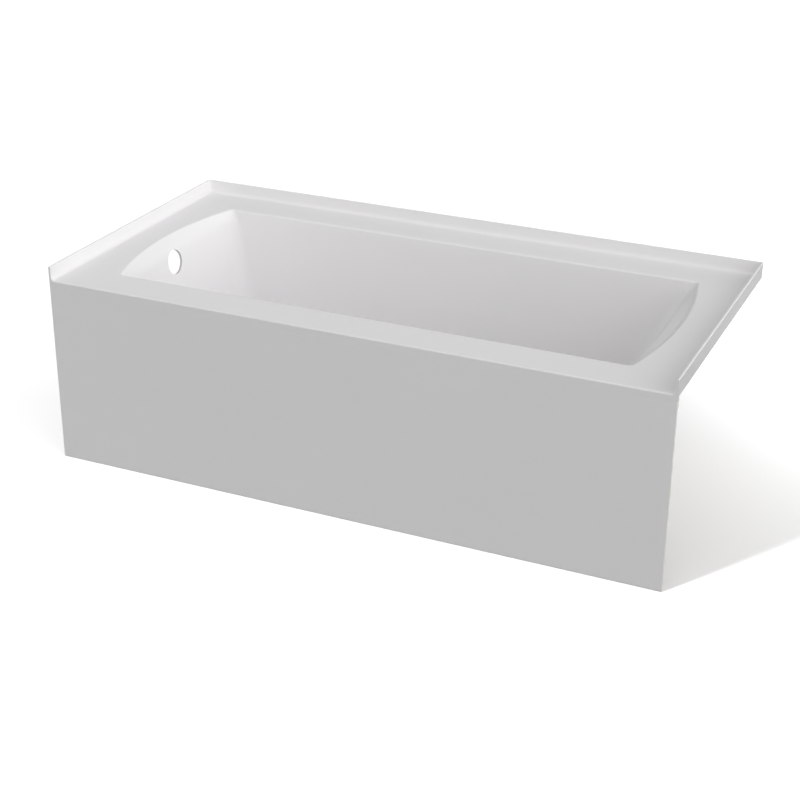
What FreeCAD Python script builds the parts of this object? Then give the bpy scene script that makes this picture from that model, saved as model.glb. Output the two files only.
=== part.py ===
import FreeCAD, Part
import math
import os
from types import SimpleNamespace

import Sketcher

# Alcove bathtub: a moulded shell with three tile flanges, a bonded apron front, a base board
# and timber battens, on a steel cradle with six levelling feet.
# +X runs from the drain end to the backrest end, +Y to the back wall, +Z up.
# The origin is on the floor, in the middle of the tub's footprint.

# Driving sizes in millimetres. Every other size and place follows from these.
SIZES = {
    # the whole tub
    "tub_length": 1524,
    "tub_width": 750,
    "deck_height": 466,
    "shell_wall": 6,
    "flange_height": 34,
    "flange_thickness": 5,
    "cove_radius": 10,
    "front_edge_radius": 4,
    "front_edge_inner_radius": 2,
    "front_lip_depth": 16,
    # the basin's opening in the deck
    "front_deck_width": 104,
    "back_deck_width": 110,
    "drain_deck_width": 82,
    "backrest_deck_width": 93,
    "drain_rim_bow": 46,
    "backrest_rim_bow": 36,
    "rim_corner_radius": 16,
    "rim_edge_radius": 6,
    # the sloping ledge that takes the bowed rim down to the walls
    "ledge_depth": 28,
    "ledge_side_width": 3,
    "ledge_drain_width": 29,
    "ledge_backrest_width": 49,
    "ledge_drain_bow": 30,
    "ledge_backrest_bow": 3,
    "ledge_corner_radius": 26,
    # walls and floor of the basin
    "side_wall_lean": 30,
    "drain_wall_lean": 52,
    "backrest_lean": 150,
    "floor_bow": 8,
    "floor_corner_radius": 90,
    "floor_edge_radius": 45,
    # waste and overflow holes
    "drain_radius": 26,
    "drain_recess_radius": 43,
    "drain_recess_depth": 3,
    "drain_boss_radius": 52,
    "drain_boss_height": 4,
    "drain_setback": 99,
    "overflow_radius": 31.5,
    "overflow_drop": 61,
    # apron and the timber behind it
    "apron_thickness": 6,
    "joggle_height": 24,
    "joggle_gap": 3,
    "batten_thickness": 18,
    "batten_width": 40,
    "batten_end_gap": 10,
    "rim_batten_inset": 35,
    "sill_width": 50,
    "top_batten_gap": 10,
    "apron_batten_inset": 22,
    "upright_width": 60,
    "upright_inset": 60,
    # base board and steel cradle
    "board_thickness": 15,
    "notch_clearance": 6,
    "rail_size": 30,
    "rail_wall": 2,
    "rail_inner_radius": 1,
    "front_rail_inset": 60,
    "rail_back_gap": 33,
    "first_rail_inset": 145,
    "last_rail_inset": 25,
    "cap_thickness": 2,
    "cap_plug_depth": 10,
    "cap_plug_clearance": 0.2,
    # levelling feet, and the room left for them to be screwed up
    "foot_inset": 90,
    "foot_room": 10,
    "pad_radius": 25,
    "pad_height": 12,
    "pad_edge_height": 4,
    "pad_neck_radius": 10.4,
    "pad_socket_radius": 6.5,
    "pad_socket_depth": 6,
    "stud_radius": 5,
    "stud_collar_height": 6,
    "stud_spare_length": 18,
    "thread_clearance": 0.1,
    "stud_hole_clearance": 0.5,
    "nut_circumradius": 9.8,
    "nut_height": 8,
    # screws
    "screw_radius": 2,
    "screw_head_radius": 4.5,
    "screw_head_height": 2.5,
    "screw_tip_gap": 4,
    "screw_hole_clearance": 0.5,
    "board_screw_spacing": 240,
}
RAIL_COUNT = 3
UPRIGHT_COUNT = 4

doc = FreeCAD.newDocument("AlcoveBathtub")
sheet = doc.addObject("Spreadsheet::Sheet", "Sizes")
for row, (alias, number) in enumerate(SIZES.items(), 1):
    sheet.set(f"A{row}", alias.replace("_", " "))
    sheet.set(f"B{row}", str(number))
    sheet.setAlias(f"B{row}", alias)
doc.recompute()


class Size:
    """A number together with its formula in the sheet's names."""

    def __init__(self, number, formula):
        self.number = number
        self.formula = formula

    def __add__(self, other):
        other = as_size(other)
        return Size(self.number + other.number, f"({self.formula} + {other.formula})")

    def __sub__(self, other):
        other = as_size(other)
        return Size(self.number - other.number, f"({self.formula} - {other.formula})")

    def __mul__(self, other):
        other = as_size(other)
        return Size(self.number * other.number, f"({self.formula} * {other.formula})")

    def __truediv__(self, other):
        other = as_size(other)
        return Size(self.number / other.number, f"({self.formula} / {other.formula})")

    def __neg__(self):
        return Size(-self.number, f"(-{self.formula})")

    __radd__ = __add__
    __rmul__ = __mul__


def as_size(value):
    return value if isinstance(value, Size) else Size(value, str(value))


s = SimpleNamespace(**{a: Size(float(sheet.get(a)), f"Sizes.{a}") for a in SIZES})

# ---------------------------------------------------------------- places worked out from the sizes

end_x = s.tub_length / 2
front_y = -(s.tub_width / 2)
back_y = s.tub_width / 2
deck_under = s.deck_height - s.shell_wall
flange_top = s.deck_height + s.flange_height
lip_bottom = s.deck_height - s.front_lip_depth

# what stands on what, from the floor up to the basin
collar_top = s.pad_height + s.stud_collar_height
lock_nut_bottom = collar_top + s.foot_room
rail_bottom = lock_nut_bottom + s.nut_height
rail_top = rail_bottom + s.rail_size
rail_middle_z = rail_bottom + s.rail_size / 2
floor_under = rail_top + s.board_thickness

rim = SimpleNamespace(
    left=s.drain_deck_width - end_x,
    right=end_x - s.backrest_deck_width,
    front=front_y + s.front_deck_width,
    back=back_y - s.back_deck_width,
    left_bow=s.drain_rim_bow,
    right_bow=s.backrest_rim_bow,
    corner=s.rim_corner_radius,
    height=s.deck_height,
)
ledge = SimpleNamespace(
    left=rim.left + s.ledge_drain_width,
    right=rim.right - s.ledge_backrest_width,
    front=rim.front + s.ledge_side_width,
    back=rim.back - s.ledge_side_width,
    left_bow=s.ledge_drain_bow,
    right_bow=s.ledge_backrest_bow,
    corner=s.ledge_corner_radius,
    height=rim.height - s.ledge_depth,
)
floor = SimpleNamespace(
    left=ledge.left + s.drain_wall_lean,
    right=ledge.right - s.backrest_lean,
    front=ledge.front + s.side_wall_lean,
    back=ledge.back - s.side_wall_lean,
    left_bow=s.floor_bow,
    right_bow=s.floor_bow,
    corner=s.floor_corner_radius,
    height=floor_under + s.shell_wall,
)
middle_y = (rim.front + rim.back) / 2
drain_x = floor.left + s.drain_setback

# the flat of the floor's underside, inside its rounded edge
edge_setback = s.floor_edge_radius + s.shell_wall
board = SimpleNamespace(
    left=floor.left + floor.left_bow + edge_setback,
    right=floor.right - floor.right_bow - edge_setback,
    front=floor.front + edge_setback,
    back=floor.back - edge_setback,
    corner=floor.corner - edge_setback,
)

front_rail_front = front_y + s.apron_thickness + s.batten_thickness
front_rail_back = front_rail_front + s.rail_size
rail_back = back_y - s.rail_back_gap
first_rail_x = board.left + s.first_rail_inset
last_rail_x = board.right - s.last_rail_inset
rail_xs = [first_rail_x + (last_rail_x - first_rail_x) * i / (RAIL_COUNT - 1)
           for i in range(RAIL_COUNT)]
foot_ys = [front_y + s.foot_inset, back_y - s.foot_inset]
feet = [(x, y) for x in rail_xs for y in foot_ys]
board_screw_ys = [middle_y - s.board_screw_spacing / 2, middle_y + s.board_screw_spacing / 2]

first_upright_x = s.upright_inset - end_x + s.upright_width / 2
upright_xs = [first_upright_x * (1 - 2 * i / (UPRIGHT_COUNT - 1)) for i in range(UPRIGHT_COUNT)]

# ---------------------------------------------------------------- sketch and feature helpers

nodes = {}  # the pieces of the tub, by label


def bind(item, name, value):
    item.setExpression(name, as_size(value).formula)


def constrain(sketch, kind, *where, value=None):
    """Adds a constraint, and ties it to the sheet where it has a value."""
    if value is None:
        return sketch.addConstraint(Sketcher.Constraint(kind, *where))
    value = as_size(value)
    index = sketch.addConstraint(Sketcher.Constraint(kind, *where, value.number))
    bind(sketch, f"Constraints[{index}]", value)
    return index


def fix_point(sketch, geometry, end, x, y):
    constrain(sketch, "DistanceX", -1, 1, geometry, end, value=x)
    constrain(sketch, "DistanceY", -1, 1, geometry, end, value=y)


def new_body(label):
    body = doc.addObject("PartDesign::Body", label)
    body.Label = label
    nodes[label] = body
    return body


def new_sketch(body, name, plane, offset=0):
    """A sketch on one of the body's own planes, moved along that plane's normal."""
    sketch = body.newObject("Sketcher::SketchObject", name)
    origin_plane = [f for f in body.Origin.OriginFeatures if f.Role == plane][0]
    sketch.AttachmentSupport = (origin_plane, [""])
    sketch.MapMode = "FlatFace"
    bind(sketch, "AttachmentOffset.Base.z", offset)
    return sketch


def point(x, y):
    return FreeCAD.Vector(as_size(x).number, as_size(y).number, 0)


def arc_between(centre, start_angle, end_angle, radius):
    circle = Part.Circle(centre, FreeCAD.Vector(0, 0, 1), radius)
    return Part.ArcOfCircle(circle, start_angle, end_angle)


def draw(sketch, steps):
    """A closed loop. Each step ends at (x, y); two more values give the centre of an arc to it,
    and a last one its radius, negative where the arc turns clockwise. Arcs are under a half turn."""
    pieces = []
    x, y = steps[-1][:2]
    for step in steps:
        start, end = point(x, y), point(*step[:2])
        if len(step) == 2:
            pieces.append((sketch.addGeometry(Part.LineSegment(start, end), False), 1, 2, x, y))
        else:
            centre, radius = point(*step[2:4]), step[4]
            angles = [math.atan2(p.y - centre.y, p.x - centre.x) for p in (start, end)]
            clockwise = radius.number < 0
            if clockwise:
                angles.reverse()
            arc = arc_between(centre, *angles, abs(radius.number))
            index = sketch.addGeometry(arc, False)
            ends = (2, 1) if clockwise else (1, 2)
            pieces.append((index, *ends, x, y))
            constrain(sketch, "Radius", index, value=-radius if clockwise else radius)
        x, y = step[:2]
    for (index, start, end, x, y), after in zip(pieces, pieces[1:] + pieces[:1]):
        constrain(sketch, "Coincident", index, end, after[0], after[1])
        fix_point(sketch, index, start, x, y)


def circle(sketch, x, y, radius):
    index = sketch.addGeometry(
        Part.Circle(point(x, y), FreeCAD.Vector(0, 0, 1), as_size(radius).number), False)
    fix_point(sketch, index, 3, x, y)
    constrain(sketch, "Radius", index, value=radius)


def outline(sketch, left, right, front, back, corner, left_bow=None, right_bow=None):
    """A rectangle with rounded corners. Its ends are straight, or bow outward by the given
    rise; left and right are then the furthest points of the bows."""
    half = (back - front) / 2
    middle = (front + back) / 2
    sides = []  # right and left: the end's own curve and the angle where its corners meet it
    for edge, bow, outward in ((right, right_bow, 1), (left, left_bow, -1)):
        if bow is None:
            sides.append((edge.number - outward * corner.number, 0.0, None, None))
            continue
        radius = (half * half + bow * bow) / (2 * bow)
        centre = edge - outward * radius
        reach = radius.number - corner.number
        rise = half.number - corner.number
        run = math.sqrt(reach ** 2 - rise ** 2)
        sides.append((centre.number + outward * run, math.atan2(rise, run), radius, centre))
    (right_x, right_angle, right_radius, right_centre) = sides[0]
    (left_x, left_angle, left_radius, left_centre) = sides[1]
    low, high, r = front.number + corner.number, back.number - corner.number, corner.number
    quarter, turn = math.pi / 2, math.pi

    def on_corner(x, y, angle):
        return FreeCAD.Vector(x + r * math.cos(angle), y + r * math.sin(angle), 0)

    def end_curve(bow_radius, centre, x, angle, facing):
        if bow_radius is None:
            first, last = (low, high) if facing == 0 else (high, low)
            return Part.LineSegment(on_corner(x, first, facing), on_corner(x, last, facing))
        middle_point = FreeCAD.Vector(centre.number, middle.number, 0)
        return arc_between(middle_point, facing - angle, facing + angle, bow_radius.number)

    curves = [
        Part.LineSegment(on_corner(left_x, low, -quarter), on_corner(right_x, low, -quarter)),
        arc_between(FreeCAD.Vector(right_x, low, 0), -quarter, -right_angle, r),
        end_curve(right_radius, right_centre, right_x, right_angle, 0),
        arc_between(FreeCAD.Vector(right_x, high, 0), right_angle, quarter, r),
        Part.LineSegment(on_corner(right_x, high, quarter), on_corner(left_x, high, quarter)),
        arc_between(FreeCAD.Vector(left_x, high, 0), quarter, turn - left_angle, r),
        end_curve(left_radius, left_centre, left_x, left_angle, turn),
        arc_between(FreeCAD.Vector(left_x, low, 0), turn + left_angle, turn + quarter, r),
    ]
    ids = [sketch.addGeometry(curve, False) for curve in curves]
    for this, following in zip(ids, ids[1:] + ids[:1]):
        constrain(sketch, "Tangent", this, 2, following, 1)
    constrain(sketch, "Horizontal", ids[0])
    constrain(sketch, "Horizontal", ids[4])
    constrain(sketch, "DistanceY", -1, 1, ids[0], 1, value=front)
    constrain(sketch, "DistanceY", -1, 1, ids[4], 1, value=back)
    for index in (1, 3, 5, 7):
        constrain(sketch, "Radius", ids[index], value=corner)
    for index, edge, bow_radius, centre in (
            (2, right, right_radius, right_centre), (6, left, left_radius, left_centre)):
        if bow_radius is None:
            constrain(sketch, "Vertical", ids[index])
            constrain(sketch, "DistanceX", -1, 1, ids[index], 1, value=edge)
        else:
            constrain(sketch, "Radius", ids[index], value=bow_radius)
            fix_point(sketch, ids[index], 3, centre, middle)


def extrude(body, kind, name, sketch, length, symmetric=False):
    feature = body.newObject(f"PartDesign::{kind}", name)
    feature.Profile = sketch
    if symmetric:
        feature.SideType = "Symmetric"
    bind(feature, "Length", length)
    return feature


def pad(body, name, sketch, length, symmetric=False):
    return extrude(body, "Pad", name, sketch, length, symmetric)


def pocket(body, name, sketch, length, symmetric=False):
    """A pocket that is checked to have cut something away."""
    doc.recompute()
    before = body.Shape.Volume
    feature = extrude(body, "Pocket", name, sketch, length, symmetric)
    doc.recompute()
    if not body.Shape.Volume < before:
        raise ValueError(f"{name} cuts nothing from {body.Label}")
    return feature


def loft(body, kind, name, sketches):
    feature = body.newObject(f"PartDesign::{kind}Loft", name)
    feature.Profile = sketches[0]
    feature.Sections = sketches[1:]
    feature.Ruled = True
    return feature


def revolve(body, name, sketch):
    feature = body.newObject("PartDesign::Revolution", name)
    feature.Profile = sketch
    feature.ReferenceAxis = (sketch, ["V_Axis"])
    feature.Angle = 360
    return feature


def level_edges(shape, height, left, right, front, back):
    """Names of the edges that lie flat at a height, within a rectangle of the plan."""
    names = []
    for index, edge in enumerate(shape.Edges, 1):
        box = edge.BoundBox
        level = abs(box.ZMin - height) < 1e-3 and abs(box.ZMax - height) < 1e-3
        within = box.XMin > left and box.XMax < right and box.YMin > front and box.YMax < back
        if level and within:
            names.append(f"Edge{index}")
    return names


def round_edges(body, name, height, area, radius):
    """Rounds every flat edge at a height that lies within an area of the plan."""
    doc.recompute()
    base = body.Tip
    margin = s.shell_wall.number + 1
    names = level_edges(
        base.Shape, height.number, area.left.number - margin, area.right.number + margin,
        area.front.number - margin, area.back.number + margin)
    if not names:
        raise ValueError(f"{name} finds no edges on {body.Label}")
    feature = body.newObject("PartDesign::Fillet", name)
    feature.Base = (base, names)
    bind(feature, "Radius", radius)
    return feature


def place(item, x, y, z):
    for axis, value in zip("xyz", (x, y, z)):
        bind(item, f"Placement.Base.{axis}", value)


def box(label, left, right, front, back, low, high):
    """A plain board or batten between six faces."""
    item = doc.addObject("Part::Box", label)
    item.Label = label
    for name, value in (("Length", right - left), ("Width", back - front), ("Height", high - low)):
        bind(item, name, value)
    place(item, left, front, low)
    nodes[label] = item
    return item


def cylinder(name, x, y, z, radius, height):
    item = doc.addObject("Part::Cylinder", name)
    bind(item, "Radius", radius)
    bind(item, "Height", height)
    place(item, x, y, z)
    return item


def fuse(name, pieces):
    item = doc.addObject("Part::MultiFuse", name)
    item.Shapes = pieces
    return item


def cut(name, base, tool):
    item = doc.addObject("Part::Cut", name)
    item.Base = base
    item.Tool = tool
    return item


def group(label, pieces):
    """Identical small pieces that share one node."""
    item = doc.addObject("Part::Compound", label)
    item.Label = label
    item.Links = pieces
    nodes[label] = item
    return item


# ---------------------------------------------------------------- the moulded shell


def basin_section(body, name, level, grow, height):
    """One level of the basin, inside where grow is 0 and outside where it is the wall."""
    sketch = new_sketch(body, name, "XY_Plane", height)
    outline(sketch, level.left - grow, level.right + grow, level.front - grow,
            level.back + grow, level.corner + grow, level.left_bow, level.right_bow)
    return sketch


def make_deck(body):
    """The deck's section along the tub, with its rolled front edge and the back flange, and the
    flange and cove at each end."""
    radius, inner_radius = s.front_edge_radius, s.front_edge_inner_radius
    cove = s.cove_radius
    inner_front = front_y + s.shell_wall
    flange_face = back_y - s.flange_thickness
    deck_section = new_sketch(body, "DeckSection", "YZ_Plane")
    draw(deck_section, [
        (inner_front, lip_bottom),
        (inner_front, deck_under - inner_radius),
        (inner_front + inner_radius, deck_under,
         inner_front + inner_radius, deck_under - inner_radius, -inner_radius),
        (back_y, deck_under),
        (back_y, flange_top),
        (flange_face, flange_top),
        (flange_face, s.deck_height + cove),
        (flange_face - cove, s.deck_height, flange_face - cove, s.deck_height + cove, -cove),
        (front_y + radius, s.deck_height),
        (front_y, s.deck_height - radius, front_y + radius, s.deck_height - radius, radius),
        (front_y, lip_bottom),
    ])
    pad(body, "Deck", deck_section, s.tub_length, symmetric=True)

    end_face = end_x - s.flange_thickness
    end_section = new_sketch(body, "EndFlangeSection", "XZ_Plane")
    draw(end_section, [
        (end_face - cove, deck_under),
        (end_x, deck_under),
        (end_x, flange_top),
        (end_face, flange_top),
        (end_face, s.deck_height + cove),
        (end_face - cove, s.deck_height, end_face - cove, s.deck_height + cove, -cove),
    ])
    end_flange = pad(body, "EndFlange", end_section, s.tub_width, symmetric=True)
    mirrored = body.newObject("PartDesign::Mirrored", "EndFlanges")
    mirrored.Originals = [end_flange]
    mirrored.MirrorPlane = ([f for f in body.Origin.OriginFeatures if f.Role == "YZ_Plane"][0], [""])
    body.Tip = mirrored


def make_cavity():
    """The space inside the basin: bowed rim, sloping ledge, leaning walls and rounded floor edge."""
    body = doc.addObject("PartDesign::Body", "BasinCavity")
    loft(body, "Additive", "Cavity", [
        basin_section(body, "Rim", rim, as_size(0), rim.height),
        basin_section(body, "Ledge", ledge, as_size(0), ledge.height),
        basin_section(body, "Floor", floor, as_size(0), floor.height),
    ])
    round_edges(body, "FloorEdge", floor.height, floor, s.floor_edge_radius)
    return body


def make_shell():
    body = new_body("tub_shell")
    make_deck(body)
    loft(body, "Additive", "BasinOutside", [
        basin_section(body, "RimOutside", rim, s.shell_wall, deck_under),
        basin_section(body, "LedgeOutside", ledge, s.shell_wall,
                      ledge.height - s.shell_wall / 2),
        basin_section(body, "FloorOutside", floor, s.shell_wall, floor_under),
    ])
    round_edges(body, "FloorEdgeOutside", floor_under, floor, s.floor_edge_radius + s.shell_wall)
    hollow = body.newObject("PartDesign::Boolean", "BasinInside")
    hollow.Type = "Cut"
    hollow.setObjects([make_cavity()])
    round_edges(body, "RimEdge", rim.height, rim, s.rim_edge_radius)
    make_holes(body)
    return body


def make_holes(body):
    """The waste hole in its dished seat, with the boss under it, and the overflow hole, which
    is square to the drain end's sloping wall."""
    boss = new_sketch(body, "DrainBossOutline", "XY_Plane", floor_under - s.drain_boss_height)
    circle(boss, drain_x, middle_y, s.drain_boss_radius)
    pad(body, "DrainBoss", boss, s.drain_boss_height + s.shell_wall / 2)
    seat = new_sketch(body, "DrainSeatOutline", "XY_Plane", floor.height)
    circle(seat, drain_x, middle_y, s.drain_recess_radius)
    pocket(body, "DrainSeat", seat, s.drain_recess_depth)
    waste = new_sketch(body, "DrainHoleOutline", "XY_Plane", floor.height)
    circle(waste, drain_x, middle_y, s.drain_radius)
    pocket(body, "DrainHole", waste, s.shell_wall + s.drain_boss_height + 1)

    wall_height = ledge.height - floor.height
    overflow_z = s.deck_height - s.overflow_drop
    overflow_x = ledge.left + s.drain_wall_lean * (ledge.height - overflow_z) / wall_height
    overflow = new_sketch(body, "OverflowOutline", "YZ_Plane", overflow_x)
    bind(overflow, "AttachmentOffset.Base.x", middle_y)
    bind(overflow, "AttachmentOffset.Base.y", overflow_z)
    overflow.AttachmentOffset = FreeCAD.Placement(
        overflow.AttachmentOffset.Base, FreeCAD.Rotation(FreeCAD.Vector(1, 0, 0), -1))
    slope = s.drain_wall_lean / wall_height
    overflow.setExpression("AttachmentOffset.Rotation.Angle", f"-atan({slope.formula})")
    circle(overflow, as_size(0), as_size(0), s.overflow_radius)
    pocket(body, "OverflowHole", overflow, s.shell_wall * 4, symmetric=True)


# ---------------------------------------------------------------- apron and timber


def make_apron():
    """A flat sheet flush with the deck's front, with a joggled tongue behind the deck's lip."""
    body = new_body("apron_panel")
    face_back = front_y + s.apron_thickness
    tongue_front = front_y + s.shell_wall
    tongue_back = tongue_front + s.apron_thickness
    section = new_sketch(body, "ApronSection", "YZ_Plane")
    draw(section, [
        (front_y, lip_bottom),
        (front_y, 0),
        (face_back, 0),
        (face_back, lip_bottom - s.joggle_height),
        (tongue_back, lip_bottom - s.joggle_height / 2),
        (tongue_back, deck_under - s.joggle_gap),
        (tongue_front, deck_under - s.joggle_gap),
        (tongue_front, lip_bottom),
    ])
    pad(body, "Apron", section, s.tub_length, symmetric=True)


def make_apron_battens():
    """Timber bonded to the back of the apron: a sill level with the front rail, a top batten
    under the joggle, and uprights between them."""
    front = front_y + s.apron_thickness
    back = front + s.batten_thickness
    end = end_x - s.apron_batten_inset
    sill_bottom = rail_middle_z - s.sill_width / 2
    sill_top = sill_bottom + s.sill_width
    top_high = lip_bottom - s.joggle_height - s.top_batten_gap
    top_low = top_high - s.batten_width
    box("apron_sill", -end, end, front, back, sill_bottom, sill_top)
    box("apron_top_batten", -end, end, front, back, top_low, top_high)
    for number, x in enumerate(upright_xs, 1):
        box(f"apron_upright_{number}", x - s.upright_width / 2, x + s.upright_width / 2,
            front, back, sill_top, top_low)


def make_rim_battens():
    """Timber bonded under the deck, round the basin."""
    low = deck_under - s.batten_thickness
    across = end_x - s.rim_batten_inset / 2
    front = front_y + s.rim_batten_inset
    back = back_y - s.rim_batten_inset
    side = back - s.batten_width - s.batten_end_gap
    box("rim_batten_front", -across, across, front, front + s.batten_width, low, deck_under)
    box("rim_batten_back", -across, across, back - s.batten_width, back, low, deck_under)
    box("rim_batten_drain_end", -across, s.batten_width - across, -side, side, low, deck_under)
    box("rim_batten_backrest_end", across - s.batten_width, across, -side, side, low, deck_under)


def make_base_board():
    """The board bonded under the basin's floor, notched round the waste."""
    body = new_body("base_board")
    sketch = new_sketch(body, "BoardOutline", "XY_Plane", rail_top)
    outline(sketch, board.left, board.right, board.front, board.back, board.corner)
    pad(body, "Board", sketch, s.board_thickness)
    notch = s.drain_boss_radius + s.notch_clearance
    slot = new_sketch(body, "NotchOutline", "XY_Plane", floor_under)
    draw(slot, [
        (board.left - notch, middle_y - notch),
        (drain_x, middle_y - notch),
        (drain_x + notch, middle_y, drain_x, middle_y, notch),
        (drain_x, middle_y + notch, drain_x, middle_y, notch),
        (board.left - notch, middle_y + notch),
    ])
    pocket(body, "Notch", slot, s.board_thickness)


# ---------------------------------------------------------------- steel cradle


def tube_section(sketch, low_side, high_side, low, high):
    wall, inner = s.rail_wall, s.rail_inner_radius
    outline(sketch, low_side, high_side, low, high, inner + wall)
    outline(sketch, low_side + wall, high_side - wall, low + wall, high - wall, inner)


def make_cross_rails():
    """Square tubes across the tub, drilled for the feet and for the base board's screws."""
    half = s.rail_size / 2
    for number, x in enumerate(rail_xs, 1):
        body = new_body(f"cradle_rail_{number}")
        section = new_sketch(body, "RailSection", "XZ_Plane", -rail_back)
        tube_section(section, x - half, x + half, rail_bottom, rail_top)
        pad(body, "Tube", section, rail_back - front_rail_back)
        holes = new_sketch(body, "RailHoles", "XY_Plane", rail_middle_z)
        for y in foot_ys:
            circle(holes, x, y, s.stud_radius + s.stud_hole_clearance)
        for y in board_screw_ys:
            circle(holes, x, y, s.screw_radius + s.screw_hole_clearance)
        pocket(body, "Holes", holes, s.rail_size * 2, symmetric=True)


def make_front_rail():
    """The long tube behind the apron's sill, welded to the cross rails."""
    body = new_body("front_rail")
    end = end_x - s.front_rail_inset
    section = new_sketch(body, "RailSection", "YZ_Plane", -end)
    tube_section(section, front_rail_front, front_rail_back, rail_bottom, rail_top)
    pad(body, "Tube", section, end * 2)
    middle = front_rail_front + s.rail_size / 2
    holes = new_sketch(body, "RailHoles", "XZ_Plane", -middle)
    for x in upright_xs:
        circle(holes, x, rail_middle_z, s.screw_radius + s.screw_hole_clearance)
    pocket(body, "Holes", holes, s.rail_size * 2, symmetric=True)


def make_end_caps():
    """Plastic plugs in the open ends of the rails."""
    plug = s.rail_size - s.rail_wall * 2 - s.cap_plug_clearance * 2
    step = (s.rail_size - plug) / 2
    size, depth, plate = s.rail_size, s.cap_plug_depth, s.cap_thickness
    caps = []

    def cap(name, plate_corner, plate_size, plug_corner, plug_size):
        halves = []
        for part, corner, dims in (("Plate", plate_corner, plate_size),
                                   ("Plug", plug_corner, plug_size)):
            block = doc.addObject("Part::Box", f"{name}{part}")
            for side, value in zip(("Length", "Width", "Height"), dims):
                bind(block, side, value)
            place(block, *corner)
            halves.append(block)
        caps.append(fuse(name, halves))

    for number, x in enumerate(rail_xs, 1):
        left = x - size / 2
        cap(f"RailCap{number}", (left, rail_back, rail_bottom), (size, plate, size),
            (left + step, rail_back - depth, rail_bottom + step), (plug, depth, plug))
    end = end_x - s.front_rail_inset
    for name, outer, inner in (("FrontCapDrain", -end - plate, -end),
                               ("FrontCapBackrest", end, end - depth)):
        cap(name, (outer, front_rail_front, rail_bottom), (plate, size, size),
            (inner, front_rail_front + step, rail_bottom + step), (depth, plug, plug))
    group("rail_end_caps", caps)


# ---------------------------------------------------------------- levelling feet


def make_feet():
    """A stud screwed through each rail end, standing in a pad."""
    pad_top = s.pad_height
    socket_floor = pad_top - s.pad_socket_depth
    stud_top = rail_top + s.nut_height + s.stud_spare_length
    for number, (x, y) in enumerate(feet, 1):
        foot_pad = new_body(f"foot_pad_{number}")
        section = new_sketch(foot_pad, "PadSection", "XZ_Plane")
        draw(section, [
            (0, 0),
            (s.pad_radius, 0),
            (s.pad_radius, s.pad_edge_height),
            (s.pad_neck_radius, pad_top),
            (s.pad_socket_radius, pad_top),
            (s.pad_socket_radius, socket_floor),
            (0, socket_floor),
        ])
        revolve(foot_pad, "Pad", section)
        place(foot_pad, x, y, 0)

        end_radius = s.pad_socket_radius - s.thread_clearance
        shank = cylinder(f"StudShank{number}", x, y, socket_floor, s.stud_radius,
                         stud_top - socket_floor)
        end = cylinder(f"StudEnd{number}", x, y, socket_floor, end_radius, s.pad_socket_depth)
        collar = hexagon(f"StudCollar{number}", x, y, pad_top, s.stud_collar_height)
        stud = fuse(f"foot_stud_{number}", [shank, end, collar])
        stud.Label = f"foot_stud_{number}"
        nodes[stud.Label] = stud


def hexagon(name, x, y, z, height):
    item = doc.addObject("Part::Prism", name)
    item.Polygon = 6
    bind(item, "Circumradius", s.nut_circumradius)
    bind(item, "Height", height)
    place(item, x, y, z)
    return item


def make_nuts():
    """A lock nut under each rail end and a welded nut on top of it."""
    bore = s.stud_radius + s.thread_clearance
    for label, name, z in (("foot_lock_nuts", "LockNut", lock_nut_bottom),
                           ("weld_nuts", "WeldNut", rail_top)):
        nuts = []
        for number, (x, y) in enumerate(feet, 1):
            blank = hexagon(f"{name}Blank{number}", x, y, z, s.nut_height)
            hole = cylinder(f"{name}Bore{number}", x, y, z, bore, s.nut_height)
            nuts.append(cut(f"{name}{number}", blank, hole))
        group(label, nuts)


# ---------------------------------------------------------------- screws


def make_screws():
    """Screws up through the cross rails into the base board, and forward through the front rail
    into the apron's sill."""
    board_length = s.rail_size + s.board_thickness - s.screw_tip_gap
    sill_length = s.rail_size + s.batten_thickness - s.screw_tip_gap
    screws = []
    for number, (x, y) in enumerate([(x, y) for x in rail_xs for y in board_screw_ys], 1):
        head = cylinder(f"BoardScrewHead{number}", x, y, rail_bottom - s.screw_head_height,
                        s.screw_head_radius, s.screw_head_height)
        shank = cylinder(f"BoardScrewShank{number}", x, y, rail_bottom, s.screw_radius,
                         board_length)
        screws.append(fuse(f"BoardScrew{number}", [head, shank]))
    group("base_board_screws", screws)

    screws = []
    quarter_turn = FreeCAD.Rotation(FreeCAD.Vector(1, 0, 0), 90)
    for number, x in enumerate(upright_xs, 1):
        head = cylinder(f"SillScrewHead{number}", x, front_rail_back + s.screw_head_height,
                        rail_middle_z, s.screw_head_radius, s.screw_head_height)
        shank = cylinder(f"SillScrewShank{number}", x, front_rail_back, rail_middle_z,
                         s.screw_radius, sill_length)
        for item in (head, shank):
            item.Placement = FreeCAD.Placement(item.Placement.Base, quarter_turn)
        screws.append(fuse(f"SillScrew{number}", [head, shank]))
    group("sill_screws", screws)


def check_and_write():
    """Writes one file for each piece, once every object and shape has been found sound."""
    doc.recompute()
    for item in doc.Objects:
        if "Invalid" in item.State or "Error" in item.State:
            raise ValueError(f"{item.Name} failed: {item.State}")
    for label, item in nodes.items():
        if item.Shape.isNull() or not item.Shape.isValid() or not item.Shape.Solids:
            raise ValueError(f"{label} has no sound solid")
    os.makedirs("parts", exist_ok=True)
    for label, item in nodes.items():
        item.Shape.exportStep(f"parts/{label}.step")
        print(f"{label}: {len(item.Shape.Solids)} solid(s), {item.Shape.Volume / 1000:.1f} cm3")


make_shell()
make_apron()
make_apron_battens()
make_rim_battens()
make_base_board()
make_cross_rails()
make_front_rail()
make_end_caps()
make_feet()
make_nuts()
make_screws()
check_and_write()
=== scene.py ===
import math

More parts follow.
